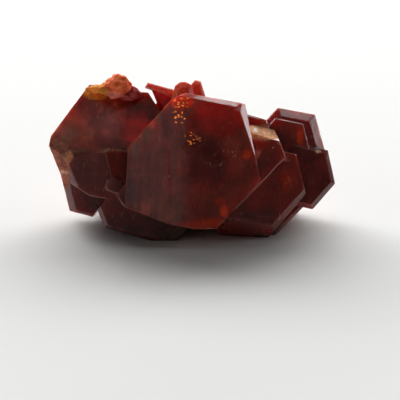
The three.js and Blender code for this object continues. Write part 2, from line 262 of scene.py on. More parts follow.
# Patches: a centre and half sizes in the growth frame, and what the surface is like there. The
# border is the share of the size over which a patch fades out. Outlines stray by two patterns,
# each by a share of the size and over so many millimetres.
usualBorder = 0.6
outlineStray = ((0.3, 0.6, 9.0), (0.2, 0.25, 4.0))  # the last number is the pattern's shift
patches = {
    "drawnLeft": {"at": (-3.6, 0, -0.4), "size": (3.6, 1.0, 7.0), "drawn": 1.0},
    "redTop": {"at": (2.2, 0, 2.9), "size": (2.8, 1, 2.0), "pigment": "red", "cloud": 0.5},
    "wineMiddle": {"at": (1.1, 0, -0.4), "size": (2.2, 1, 2.6), "pigment": "wine", "cloud": 0.36},
    # Painted orange glow of light shining through the thin top, with glinting flakes.
    "sparkleGlowTop": {"at": (-0.75, 0, 4.05), "size": (0.95, 0.8, 0.75), "spark": 1.2,
                   "pigment": "flame", "cloud": 0.7},
    # Flakes that glint here are partly painted orange glints.
    "sparkleBelow": {"at": (-0.8, 0, 3.1), "size": (0.8, 0.8, 0.9), "spark": 0.8},
    "sparkleMiddle": {"at": (0.3, 0, 1.3), "size": (1.0, 0.8, 0.7), "spark": 0.8},
    "sparkleRight": {"at": (2.9, 0, 0.2), "size": (1.2, 0.8, 0.7), "spark": 0.45},
    # Painted red and orange glows of light shining through the crystal.
    "glowRed": {"at": (2.2, 0, -3.5), "size": (0.5, 1, 0.45), "pigment": "ember", "cloud": 0.75},
    "glowOrange": {"at": (2.5, 0, -4.15), "size": (0.45, 1, 0.6), "pigment": "flame", "cloud": 0.8},
    # Painted glows of light shining through the thin bottom edge.
    "glowEdge": {"at": (0.7, 0, -5.35), "size": (2.8, 1, 0.6), "pigment": "ember", "cloud": 0.62},
    "glowLow": {"at": (1.6, 0, -5.0), "size": (0.9, 1, 0.4), "pigment": "flame", "cloud": 0.6},
    # Painted orange glow by the right edge, with a few glinting flakes.
    "glowRight": {"at": (4.25, 0.3, 0.15), "size": (0.5, 1, 0.6), "pigment": "flame", "cloud": 0.6,
                   "spark": 0.3},
    "cornerChip": {"at": (3.65, 0, 3.6), "size": (0.5, 0.6, 0.22), "pigment": "umber", "cloud": 0.9,
                   "dull": 0.5},
    # Painted highlight: the right strip made pale pink where it mirrors the right card.
    "highlightRightStrip": {"at": (5.0, 0.5, 2.5), "size": (0.55, 0.9, 2.8), "pigment": "blush", "cloud": 0.9,
                   "dull": 0.1, "border": 0.1},
    "rustLow": {"at": (-2.8, 0, -4.2), "size": (2.6, 1, 1.6), "pigment": "rust", "cloud": 0.42},
    "leftRust": {"at": (-9.4, 1.6, 2.3), "size": (2.6, 3, 2.6), "pigment": "rust", "cloud": 0.85},
    "leftRose": {"at": (-6.4, 1.6, 3.1), "size": (2.7, 2, 2.2), "pigment": "rose", "cloud": 1.0,
                 "dull": 0.1},
    # Painted light: lighter salmon where the upper plate lies in the shade of the lumps.
    "paintedLightHigh": {"at": (-6.4, 1.8, 4.2), "size": (2.4, 2, 1.1), "pigment": "salmon", "cloud": 1.0,
                 "dull": 0.3},
    # Painted bright red glow of light shining through the plate.
    "glowLeft": {"at": (-3.9, 1.6, 2.9), "size": (2.1, 2, 2.5), "pigment": "scarlet", "cloud": 1.0,
                "dull": 0.05, "border": 0.35},
    "leftBrown": {"at": (-10.2, 2.0, 1.7), "size": (1.5, 3, 1.9), "pigment": "umber", "cloud": 0.75},
    "leftBlush": {"at": (-4.4, 1.8, 4.6), "size": (1.3, 2, 0.8), "pigment": "blush", "cloud": 0.95},
    "leftCrust": {"at": (-7.6, 1.6, 0.5), "size": (3.6, 2, 0.26), "pigment": "umber", "cloud": 0.6,
                  "dull": 0.5},
    "leftLow": {"at": (-7.0, 1.6, -2.6), "size": (5.6, 2, 3.1), "pigment": "maroon", "cloud": 0.56,
                "border": 0.12},
    "leftStrip": {"at": (-10.3, 2.6, -0.7), "size": (1.2, 2, 2.2), "pigment": "umber", "crust": 1.0,
                  "border": 0.2},
    "tanLeft": {"at": (-9.5, 1.8, 0.05), "size": (0.45, 1, 0.5), "pigment": "earth", "crust": 1.0},
    "chipLeft": {"at": (-10.0, 2.2, -1.2), "size": (0.4, 1, 0.16), "pigment": "pale", "crust": 1.0},
    "ledge": {"at": (5.6, 1.2, 2.05), "size": (1.7, 1.1, 0.95), "pigment": "earth", "crust": 1.0,
              "border": 0.2},
    # Painted highlights: small white and pale spots where glints of light show.
    "glint": {"at": (4.95, 1.2, 2.05), "size": (0.26, 0.8, 0.26), "pigment": "frost", "crust": 1.0},
    "glintStep": {"at": (6.75, 1.2, 1.05), "size": (0.26, 0.6, 0.2), "pigment": "pale", "crust": 1.0},
    "glintFoot": {"at": (7.3, 1.5, -0.3), "size": (0.35, 0.6, 0.12), "pigment": "blush",
                 "cloud": 0.9, "dull": 0.8},
    "glintSide": {"at": (9.9, 2.4, 0.38), "size": (0.3, 0.8, 0.2), "pigment": "pale", "crust": 1.0},
    # Painted glows of light shining through the crystals on the right, some with glinting flakes.
    "glowBack": {"at": (8.5, 2.6, 1.6), "size": (0.4, 1, 0.8), "pigment": "flame", "cloud": 0.5,
                 "spark": 0.4},
    "glowFoot": {"at": (7.35, 1.5, -1.9), "size": (0.5, 1, 1.1), "pigment": "ember", "cloud": 0.42,
                 "spark": 0.75},
    "glowStep": {"at": (4.9, 0.9, 0.9), "size": (1.2, 1, 0.5), "pigment": "red", "cloud": 0.6},
    # Painted shade: darker, milkier maroon on the underside of the right foot.
    "paintedShadeFoot": {"at": (4.6, 2.6, -5.2), "size": (4.2, 2.6, 1.6), "pigment": "maroon",
                "cloud": 0.7, "dull": 0.4},
    "matrixLow": {"at": (-0.6, 1.6, -6.3), "size": (2.4, 2.6, 0.95), "pigment": "matrix", "crust": 1.0,
                  "border": 0.3},
    "ochrePatch": {"at": (-7.5, 3.6, 5.0), "size": (1.2, 2.5, 0.6), "pigment": "ochre", "crust": 1.0,
                   "border": 0.3},
    "knobsBack": {"at": (-0.2, 6.0, 5.0), "size": (2.2, 2.0, 1.6), "pigment": "deep", "cloud": 0.5},
    # Painted highlight: a pink crust band made pale under the lumps where the overhead light catches it.
    "highlightRim": {"at": (-6.5, 2.6, 4.68), "size": (1.9, 1.0, 0.32), "pigment": "salmon", "crust": 1.0,
                 "border": 0.3},
    "rimLow": {"at": (-4.4, 0.5, 0.7), "size": (0.7, 1.4, 1.1), "pigment": "umber", "cloud": 0.34},
    "rimMiddle": {"at": (-3.5, 0.5, 2.0), "size": (0.7, 1.4, 1.1), "pigment": "umber", "cloud": 0.34},
    "rimHigh": {"at": (-2.6, 0.5, 3.3), "size": (0.7, 1.4, 1.0), "pigment": "umber", "cloud": 0.34},
    "stripStart": {"at": (-0.05, 0.3, 4.85), "size": (1.1, 0.7, 0.3), "dull": 1.0, "border": 0.2},
}

# Healed cracks: thin pale veins along a line of points on the front, each (x, z).
veins = {
    "long": [(-0.4, 0.05), (0.1, 0.1), (0.35, -0.1), (0.8, -0.15), (1.0, -0.45), (1.35, -0.5),
             (1.7, -0.82), (2.05, -0.7), (2.3, -0.75), (2.45, -0.3), (2.75, -0.1), (2.8, 0.35)],
    "upper": [(0.1, 1.7), (0.6, 1.3), (1.1, 1.25)],
    "side": [(3.1, -0.05), (3.5, 0.45), (3.6, 0.9)],
    "left": [(-8.6, 1.6), (-8.1, 1.62), (-7.7, 1.7)],
}

# A vein's width to each side, how far and over how long it strays from its line, where it fades,
# and how far behind the broad face veins are seen: millimetres, and noise for the fade.
veinShape = {"width": 0.06, "bend": 0.1, "bendSize": 0.26, "fade": (-0.7, 0.1), "fadeSize": 0.4,
             "depth": 2.5}

latticeSize = 32
lattice = np.random.default_rng(7).uniform(-1, 1, (latticeSize,) * 3)


def noise(points, size, shift=0.0):
    # Random heights at the nodes of a cubic lattice, blended smoothly from node to node.
    at = points / size + shift
    low = np.floor(at).astype(int)
    t = at - low
    t = t * t * (3 - 2 * t)
    height = np.zeros(len(points))
    for corner in np.ndindex(2, 2, 2):
        node = (low + corner) % latticeSize
        share = np.prod(np.where(corner, t, 1 - t), axis=1)
        height += share * lattice[node[:, 0], node[:, 1], node[:, 2]]
    return height


def linear(hexColour):
    # An sRGB hex colour as linear red, green, blue and alpha.
    channels = [int(hexColour[i:i + 2], 16) / 255 for i in (1, 3, 5)]
    return [c / 12.92 if c < 0.04045 else ((c + 0.055) / 1.055) ** 2.4 for c in channels] + [1.0]


def smooth(value, low, high):
    # 0 up to low, 1 from high on, and an S curve between them.
    t = np.clip((value - low) / (high - low), 0, 1)
    return t * t * (3 - 2 * t)


def planesOf(tablet):
    # The profile (pyramid slope, prism wall, pyramid slope) is carried round the outline's
    # directions; the two broad faces and the facets follow. A row is a direction and a distance.
    direction, reach = np.array(tablet["sides"]).T
    turn = np.radians(direction)
    across = np.stack([np.cos(turn), np.sin(turn), np.zeros(len(turn))], 1)
    out = np.array([0, 0, 1.0])
    rise = math.radians(specimen["pyramidAngle"])
    slopeReach = (reach - tablet["bevel"]) * math.sin(rise)
    normals = [
        across,
        across * math.sin(rise) + out * math.cos(rise),
        across * math.sin(rise) - out * math.cos(rise),
        [out, -out],
    ]
    distances = [
        reach,
        slopeReach,
        slopeReach + tablet["thickness"] * math.cos(rise),
        [0, tablet["thickness"]],
    ]
    for facetDirection, slope, facetReach in tablet.get("facets", ()):
        turn, tilt = math.radians(facetDirection), math.radians(slope)
        towards = (math.sin(tilt) * math.cos(turn), math.sin(tilt) * math.sin(turn), math.cos(tilt))
        normals.append([towards])
        distances.append([facetReach * math.sin(tilt)])
    return np.concatenate(normals), np.concatenate(distances)


def cornersAndFaces(normals, distances):
    # A corner is where three planes meet, inside all the others. A face is the ring of corners
    # on one plane, in order of their angle round its middle.
    trios = np.array(list(combinations(range(len(distances)), 3)))
    trios = trios[np.abs(np.linalg.det(normals[trios])) > 1e-4]
    corners = np.linalg.solve(normals[trios], distances[trios][..., None])[..., 0]
    corners = corners[(corners @ normals.T <= distances + 1e-6).all(1)]
    touching = np.abs(corners @ normals.T - distances) < 1e-5
    touching, first = np.unique(touching, axis=0, return_index=True)
    corners = corners[first]
    faces = {}
    for plane, normal in enumerate(normals):
        ring = np.flatnonzero(touching[:, plane])
        if len(ring) < 3:
            continue
        spokes = corners[ring] - corners[ring].mean(0)
        along = spokes[0] / np.linalg.norm(spokes[0])
        angle = np.arctan2(spokes @ np.cross(normal, along), spokes @ along)
        faces[plane] = [int(c) for c in ring[np.argsort(angle)]]
    return corners, faces


def wornPolygons(corners, faces, rng):
    # Every face is drawn in from its edges by the width worn off each, a strip joins the two
    # faces of each edge, and a small cap closes each corner.
    faceOf = {}
    for plane, ring in faces.items():
        for a, b in zip(ring, ring[1:] + ring[:1]):
            faceOf[a, b] = plane
    wear = {}
    for a, b in sorted(faceOf):
        if a < b:
            wear[a, b] = wear[b, a] = rng.uniform(*specimen["edgeWear"])
    points, polygons, index = [], [], {}
    for plane, ring in faces.items():
        for before, here, after in zip(ring[-1:] + ring[:-1], ring, ring[1:] + ring[:1]):
            back, ahead = corners[before] - corners[here], corners[after] - corners[here]
            backLength, aheadLength = np.linalg.norm(back), np.linalg.norm(ahead)
            back, ahead = back / backLength, ahead / aheadLength
            opening = max(np.linalg.norm(np.cross(back, ahead)), 0.05)
            backShift = min(wear[here, after] / opening, specimen["wornShare"] * backLength)
            aheadShift = min(wear[before, here] / opening, specimen["wornShare"] * aheadLength)
            index[plane, here] = len(points)
            points.append(corners[here] + back * backShift + ahead * aheadShift)
        polygons.append([index[plane, corner] for corner in ring])
    following = {}
    for (a, b), plane in faceOf.items():
        other = faceOf[b, a]
        following[a, other] = plane
        if a < b:
            polygons.append([index[plane, b], index[plane, a], index[other, a], index[other, b]])
    for corner in range(len(corners)):
        start = next((plane for (at, plane) in following if at == corner), None)
        if start is None:
            continue
        ring, plane = [], start
        while True:
            ring.append(index[plane, corner])
            plane = following[corner, plane]
            if plane == start:
                break
        polygons.append(ring)
    return np.array(points), polygons


def fanned(points, polygons):
    # Three and four corners are split straight; a larger polygon is a fan round its middle.
    middles, triangles = [], []
    for ring in polygons:
        if len(ring) < 5:
            triangles += [(ring[0], b, c) for b, c in zip(ring[1:], ring[2:])]
            continue
        middle = len(points) + len(middles)
        middles.append(points[ring].mean(0))
        triangles += [(middle, b, c) for b, c in zip(ring, ring[1:] + ring[:1])]
    if middles:
        points = np.concatenate([points, middles])
    return points, np.array(triangles)


def refined(points, triangles, longest):
    # Every edge longer than the limit gets a point at its middle, and each triangle is split
    # by the one, two or three of its edges that have one, until no edge is too long.
    while True:
        edges = np.sort(triangles[:, [[0, 1], [1, 2], [2, 0]]].reshape(-1, 2), axis=1)
        edges, owner = np.unique(edges, axis=0, return_inverse=True)
        owner = owner.reshape(-1)
        length = np.linalg.norm(points[edges[:, 0]] - points[edges[:, 1]], axis=1)
        split = length > longest
        if not split.any():
            return points, triangles
        middle = np.full(len(edges), -1)
        middle[split] = len(points) + np.arange(split.sum())
        points = np.concatenate([points, points[edges[split]].mean(1)])
        middles = middle[owner].reshape(-1, 3)
        count = (middles >= 0).sum(1)
        # Each triangle is turned so that its lone split edge, or its lone whole edge, comes first.
        lone = np.where(count == 1, np.argmax(middles >= 0, 1), np.argmin(middles >= 0, 1))
        order = (lone[:, None] + np.arange(3)) % 3
        a, b, c = np.take_along_axis(triangles, order, 1).T
        ab, bc, ca = np.take_along_axis(middles, order, 1).T
        one, two, three = count == 1, count == 2, count == 3
        pieces = [triangles[count == 0]]
        for chosen, corners in (
                (one, (a, ab, c)), (one, (ab, b, c)), (two, (a, b, bc)), (two, (a, bc, ca)),
                (two, (ca, bc, c)), (three, (a, ab, ca)), (three, (ab, b, bc)),
                (three, (bc, c, ca)), (three, (ab, bc, ca))):
            pieces.append(np.stack(corners, 1)[chosen])
        triangles = np.concatenate(pieces)


def relief(points, normals, distances, shift):
    # A point on a face moves along the face's direction by swell, streaks and terraces, which
    # fade towards the face's border; a point at a worn edge moves inwards where a nick is.
    depth = distances - points @ normals.T
    sines = np.sqrt(np.clip(1 - (normals @ normals.T) ** 2, 1e-6, 1))
    moved = points.copy()
    border = np.zeros(len(points))
    edgeWearAndHighlight = np.zeros(len(points))
    for plane, normal in enumerate(normals):
        on = np.flatnonzero(depth[:, plane] < 1e-6)
        if not len(on):
            continue
        others = np.arange(len(normals)) != plane
        inward = (depth[on][:, others] / sines[plane, others]).min(1)
        border[on] = inward
        turning = others & (normals @ normal < specimen["sameFace"])
        fromEdge = (depth[on][:, turning] / sines[plane, turning]).min(1)
        # Nearness to a turning edge, which makes edges pale: partly wear, partly a painted highlight.
        edgeWearAndHighlight[on] = np.maximum(edgeWearAndHighlight[on], np.exp(-((fromEdge / specimen["wearAndHighlightWidth"]) ** 2)))
        here = points[on]
        height = specimen["swell"] * noise(here, specimen["swellSize"], shift)
        if abs(normal[2]) > 0.8:
            height += specimen["streak"] * noise(here, specimen["streakSize"], shift)
            wave, waveSize = specimen["terraceWave"]
            step = inward / specimen["terraceSpacing"] + wave * noise(here, waveSize, shift)
            height += specimen["terrace"] * (smooth(step % 1, 0, specimen["terraceRiser"]) - step % 1)
        else:
            height += specimen["striation"] * noise(here, specimen["striationSize"], shift)
        fade = smooth(inward, specimen["edgeWear"][1], specimen["reliefBorder"])
        moved[on] += normal * (height * fade)[:, None]
    near = np.exp(-depth / specimen["nickBlend"])
    inwards = -(near @ normals)
    inwards /= np.linalg.norm(inwards, axis=1, keepdims=True) + 1e-9
    nick = smooth(noise(points, specimen["nickSize"], shift + 5), *specimen["nickLevel"])
    nick *= np.exp(-((border / specimen["nickReach"]) ** 2)) * specimen["nickDepth"]
    return moved + inwards * nick[:, None], edgeWearAndHighlight


def turned(points, axis, degrees):
    # Turned about x (axis 0) or z (axis 2), anticlockwise seen from its positive end.
    c, s = math.cos(math.radians(degrees)), math.sin(math.radians(degrees))
    a, b = ((1, 2), (0, 1))[axis // 2]
    out = points.copy()
    out[:, a] = c * points[:, a] - s * points[:, b]
    out[:, b] = s * points[:, a] + c * points[:, b]
    return out


def tabletSurface(tablet, number):
    # One tablet in the growth frame: its worn polygons, cut up fine, with its relief.
    normals, distances = planesOf(tablet)
    corners, faces = cornersAndFaces(normals, distances)
    real = sorted(faces)
    points, polygons = wornPolygons(corners, faces, np.random.default_rng(number))
    points, triangles = fanned(points, polygons)
    points, triangles = refined(points, triangles, tablet["grain"])
    points, edgeWearAndHighlight = relief(points, normals[real], distances[real], 3.7 * number)
    points = turned(turned(points, 0, 90 + tablet.get("pitch", 0)), 2, tablet.get("yaw", 0))
    return points + tablet["at"], triangles, edgeWearAndHighlight


def icosahedron():
    # The corners are the turns of (0, 1, golden ratio); the faces are the trios a side apart.
    golden = (1 + 5 ** 0.5) / 2
    first = [(0, a, b * golden) for a in (-1, 1) for b in (-1, 1)]
    points = np.concatenate([np.roll(first, turn, axis=1) for turn in range(3)]).astype(float)
    trios = np.array(list(combinations(range(len(points)), 3)))
    sides = points[trios] - points[np.roll(trios, 1, axis=1)]
    triangles = trios[(np.linalg.norm(sides, axis=2) < 2.1).all(1)]
    inward = np.linalg.det(points[triangles]) < 0
    triangles[inward] = triangles[inward][:, ::-1]
    return points, triangles


def lumpShape(lump, number):
    # A sphere whose radius swings with direction as the solid's does, with crumbs on it.
    points, triangles = icosahedron()
    size = np.array(lump["size"])
    radius = 1.9  # of the icosahedron
    points, triangles = refined(points, triangles, radius * lumpSurface["grain"] / size.max())
    points /= np.linalg.norm(points, axis=1, keepdims=True)
    x, y, z = points.T
    swing = np.sin(5 * x + 3 * z + lump["at"][0]) * np.cos(4 * y - 3 * x)
    placed = points * (1 + lumpSurface["push"] * swing)[:, None] * size
    crumbs = noise(placed, lumpSurface["crumbSize"], 2.3 * number)
    grit = noise(placed, lumpSurface["gritSize"], number)
    outwards = lumpSurface["crumb"] * crumbs + lumpSurface["grit"] * grit
    return placed + points * outwards[:, None] + lump["at"], triangles, np.zeros(len(points))


def inFrame(points):
    # Growth frame in millimetres to the shared frame in metres.
    leant = turned(points, 0, -specimen["leanBack"])
    return (leant + specimen["growthOrigin"]) * mm


def meshObject(name, points, triangles, looks=None, collection=None):
    mesh = bpy.data.meshes.new(name)
    mesh.vertices.add(len(points))
    mesh.vertices.foreach_set("co", points.astype(np.float32).ravel())
    mesh.loops.add(triangles.size)
    mesh.loops.foreach_set("vertex_index", triangles.astype(np.int32).ravel())
    mesh.polygons.add(len(triangles))
    mesh.polygons.foreach_set("loop_start", np.arange(0, triangles.size, 3, dtype=np.int32))
    mesh.update(calc_edges=True)
    for label, values in (looks or {}).items():
        isColour = values.ndim == 2
        attribute = mesh.attributes.new(label, "FLOAT_COLOR" if isColour else "FLOAT", "POINT")
        attribute.data.foreach_set("color" if isColour else "value",
                                   values.astype(np.float32).ravel())
    made = bpy.data.objects.new(name, mesh)
    (collection or bpy.context.scene.collection).objects.link(made)
    return made


def distanceToLine(points, line):
    # The least distance from each point to any of the line's straight stretches.
    nearest = np.full(len(points), np.inf)
    for start, end in zip(np.array(line), np.array(line[1:])):
        along = end - start
        share = np.clip((points - start) @ along / (along @ along), 0, 1)
        nearest = np.minimum(nearest, np.linalg.norm(points - start - share[:, None] * along, axis=1))
    return nearest


def looksAt(points, edgeWearAndHighlight, own):
    # The piece's own look at every point; each patch is then blended in, in full up to its border
    # and not at all past its size, with a ragged outline.
    look = {**plain, **{label: own[label] for label in plain if label in own}}
    tint = np.tile(linear(pigments[look["pigment"]]), (len(points), 1))
    looks = {label: np.full(len(points), value) for label, value in look.items() if label != "pigment"}
    ragged = np.ones(len(points))
    for share, size, shift in outlineStray:
        ragged += share * noise(points, size, shift)
    for patch in patches.values():
        border = patch.get("border", usualBorder)
        outline = 1 + (ragged - 1) * max(border, 0.3)
        away = np.linalg.norm((points - patch["at"]) / patch["size"], axis=1) * outline
        share = 1 - smooth(away, 1.05 - border, 1.05)
        if "pigment" in patch:
            tint += share[:, None] * (linear(pigments[patch["pigment"]]) - tint)
        for label, values in looks.items():
            if label in patch:
                values += share * (patch[label] - values)
    stray = np.stack([noise(points, veinShape["bendSize"], shift) for shift in (1.0, 6.0)], 1)
    bent = points[:, [0, 2]] + veinShape["bend"] * stray
    vein = np.zeros(len(points))
    for line in veins.values():
        vein = np.maximum(vein, np.exp(-((distanceToLine(bent, line) / veinShape["width"]) ** 2)))
    vein *= smooth(noise(points, veinShape["fadeSize"], 3.0), *veinShape["fade"])
    vein *= points[:, 1] < veinShape["depth"]
    return {"tint": tint, "edgeWearAndHighlight": edgeWearAndHighlight, "vein": vein, **looks}


def applied(made, operation, **settings):
    # Puts the result of one Boolean modifier in place of the object's mesh.
    modifier = made.modifiers.new("join", "BOOLEAN")
    modifier.operation = operation
    modifier.solver = "MANIFOLD"
    for name, value in settings.items():
        setattr(modifier, name, value)
    evaluated = made.evaluated_get(bpy.context.evaluated_depsgraph_get())
    mesh = bpy.data.meshes.new_from_object(evaluated)
    made.modifiers.clear()
    made.data = mesh


def valuesOf(items, key, width=1, kind=np.float32):
    values = np.empty(len(items) * width, kind)
    items.foreach_get(key, values)
    return values


def mended(mesh):
    # A corner made by the joining has no look yet: it takes the mean of its neighbours' looks,
    # and those beyond it follow, until every corner has one.
    ends = valuesOf(mesh.edges, "vertices", 2, np.int32).reshape(-1, 2)
    ends = np.concatenate([ends, ends[:, ::-1]])
    looks = {}
    for label in ("tint", "edgeWearAndHighlight", "vein", *(label for label in plain if label != "pigment")):
        key, width = ("color", 4) if label == "tint" else ("value", 1)
        looks[label] = valuesOf(mesh.attributes[label].data, key, width).reshape(-1, width)
    known = looks["cloud"][:, 0] > 0
    print("corners without a look:", int((~known).sum()))
    while not known.all():
        reached = ends[known[ends[:, 0]] & ~known[ends[:, 1]]]
        if not len(reached):
            break
        count = np.bincount(reached[:, 1], minlength=len(known))
        fresh = count > 0
        for values in looks.values():
            for column in values.T:
                total = np.bincount(reached[:, 1], column[reached[:, 0]], minlength=len(known))
                column[fresh] = total[fresh] / count[fresh]
        known |= fresh
    for label, values in looks.items():
        mesh.attributes[label].data.foreach_set("color" if label == "tint" else "value", values.ravel())


def crustMarked(mesh):
    # The faces whose corners are mostly crust take the second material.
    level = valuesOf(mesh.attributes["crust"].data, "value")
    corner = valuesOf(mesh.loops, "vertex_index", kind=np.int32)
    first = valuesOf(mesh.polygons, "loop_start", kind=np.int32)
    count = np.diff(np.append(first, len(corner)))
    share = np.add.reduceat(level[corner], first) / count
    mesh.materials.clear()
    mesh.materials.append(None)
    mesh.materials.append(None)
    mesh.polygons.foreach_set("material_index", (share > 0.5).astype(np.int32))


def halved(quads):
    return np.concatenate([quads[:, [0, 1, 2]], quads[:, [0, 2, 3]]])


def scarBlock():
    # A block with its top at the level of the scar.
    half, deep = 30.0, 10.0
    x, y, z = np.meshgrid((-half, half), (-half, half), (-deep, 0), indexing="ij")
    points = np.stack([x.ravel(), y.ravel(), z.ravel()], 1) * mm
    quads = np.array([(0, 1, 3, 2), (4, 6, 7, 5), (0, 4, 5, 1), (2, 3, 7, 6), (0, 2, 6, 4), (1, 5, 7, 3)])
    return meshObject("rock", points, halved(quads))


def grownCluster():
    # All tablets and lumps joined in one closed surface, then cut off level where it left its rock.
    waiting = bpy.data.collections.new("waiting")
    bpy.context.scene.collection.children.link(waiting)
    pieces = []
    tablets = {**frontTablets, **backTablets}
    for number, (name, tablet) in enumerate(tablets.items()):
        inFront = name in frontTablets
        tablet.setdefault("bevel", specimen["bevel"])
        tablet.setdefault("grain", specimen["frontGrain" if inFront else "backGrain"])
        tablet.setdefault("cloud", plain["cloud"] if inFront else specimen["backCloud"])
        pieces.append((name, tablet, *tabletSurface(tablet, number)))
    for number, (name, lump) in enumerate(lumps.items()):
        lump.setdefault("crust", 1.0)
        pieces.append((name, lump, *lumpShape(lump, number)))
    print("surfaces:", sum(len(piece[3]) for piece in pieces), "triangles before they are joined")
    made = [meshObject(name, inFrame(points), triangles, looksAt(points, edgeWearAndHighlight, own), waiting)
            for name, own, points, triangles, edgeWearAndHighlight in pieces]
    cluster = made[0]
    cluster.name = cluster.data.name = "vanadiniteCluster"
    waiting.objects.unlink(cluster)
    bpy.context.scene.collection.objects.link(cluster)
    applied(cluster, "UNION", operand_type="COLLECTION", collection=waiting)
    for piece in made[1:]:
        bpy.data.objects.remove(piece)
    bpy.data.collections.remove(waiting)
    rock = scarBlock()
    applied(cluster, "DIFFERENCE", object=rock)
    bpy.data.objects.remove(rock)
    mesh = cluster.data
    mended(mesh)
    mesh.polygons.foreach_set("use_smooth", np.ones(len(mesh.polygons), bool))
    crustMarked(mesh)
    mesh.set_sharp_from_angle(angle=math.radians(specimen["crease"]))
    return cluster


cluster = grownCluster()
print("joined cluster:", len(cluster.data.polygons), "faces")


def socket(sockets, name):
    # The socket in use with that name: a Mix node has one of each name for every kind of value.
    return next(found for found in sockets if found.enabled and found.name == name)


def addNode(tree, kind, inputs=None, **settings):
    # A node with its own settings; each input is a value or another node's socket.
    made = tree.nodes.new("ShaderNode" + kind)
    for name, value in settings.items():
        setattr(made, name, value)
    for name, value in (inputs or {}).items():
        target = made.inputs[name] if isinstance(name, int) else socket(made.inputs, name)
        if isinstance(value, bpy.types.NodeSocket):
            tree.links.new(value, target)
        else:
            target.default_value = value
    return made


def combined(tree, operation, *values, **settings):
    # The outcome of one Math node; each value is a number or another node's socket.
    inputs = dict(enumerate(values))
    return addNode(tree, "Math", inputs, operation=operation, **settings).outputs[0]


def newMaterial(name):
    material = bpy.data.materials.new(name)
    material.use_nodes = True
    material.node_tree.nodes.clear()
    return material, material.node_tree


vanadinite = {
    "scatterReach": (1.0, 0.3, 0.12),  # how far red, green and blue wander in the milky part
    "scatterScale": 0.0018,  # metres
    "ior": 1.75,
    "absorbed": (0.88, 0.50, 0.07),
    "density": 3800.0,  # per metre
    "gloss": (0.07, 0.62),  # roughness of a bright growth face and of a dull one
    "mottleSize": 1.5,  # mm, of the cloudy veils
    "grainSize": 0.3,  # mm
    "streakSize": 0.42,  # mm across the growth streaks
    "streakStretch": (1.0, 0.4, 0.13),
    "scratchSize": 0.16,  # mm across a scratch
    "scratchStretch": (1.0, 0.5, 0.32),
    "flakeSize": 0.16,  # mm
    "flakeStretch": (0.7, 1.0, 1.2),
    # The flake colour paints orange glints, and also tints the flakes' metallic mirror.
    "flake": "#ff8028",
    "flakeRoughness": 0.24,
    "flakeMirror": 0.7,  # how metallic a flake looks
    "flakeTilt": (0.37, 0.0, 1.2),  # how inner flakes lean: upwards, off the broad face
    "flakeSpread": 0.1,  # how much that differs from flake to flake
    "moteSize": 0.8,  # mm between specks of dust
    "wearAndHighlight": "#d09080",  # of an edge: pale from wear, and partly a painted highlight
    "wearAndHighlightFall": 4.0,  # the higher, the closer to the edge the paleness keeps
    "bumpDepth": 0.00002,  # metres
    "bumpStrength": 0.1,
    # Two values of a pattern, and what is made of them: a share, or a factor of the colour.
    "veil": (0.34, 0.66, 0.84, 1.16),
    "line": (0.34, 0.6, -0.16, 0.08),
    "crumb": (0.35, 0.65, 0.92, 1.08),
    "patchy": (0.3, 0.7, 0.2, 0.75),
    "scratch": (0.62, 0.74, 0.0, 0.32),
    "few": (0.8, 0.85, 0.0, 1.0),
    "speck": (0.14, 0.07, 0.0, 0.6),
    "lit": (1.0, 1.1, 0.0, 1.0),
    "spot": (0.65, 0.3, 0.0, 1.0),
}
rangeEnds = ("From Min", "From Max", "To Min", "To Max")


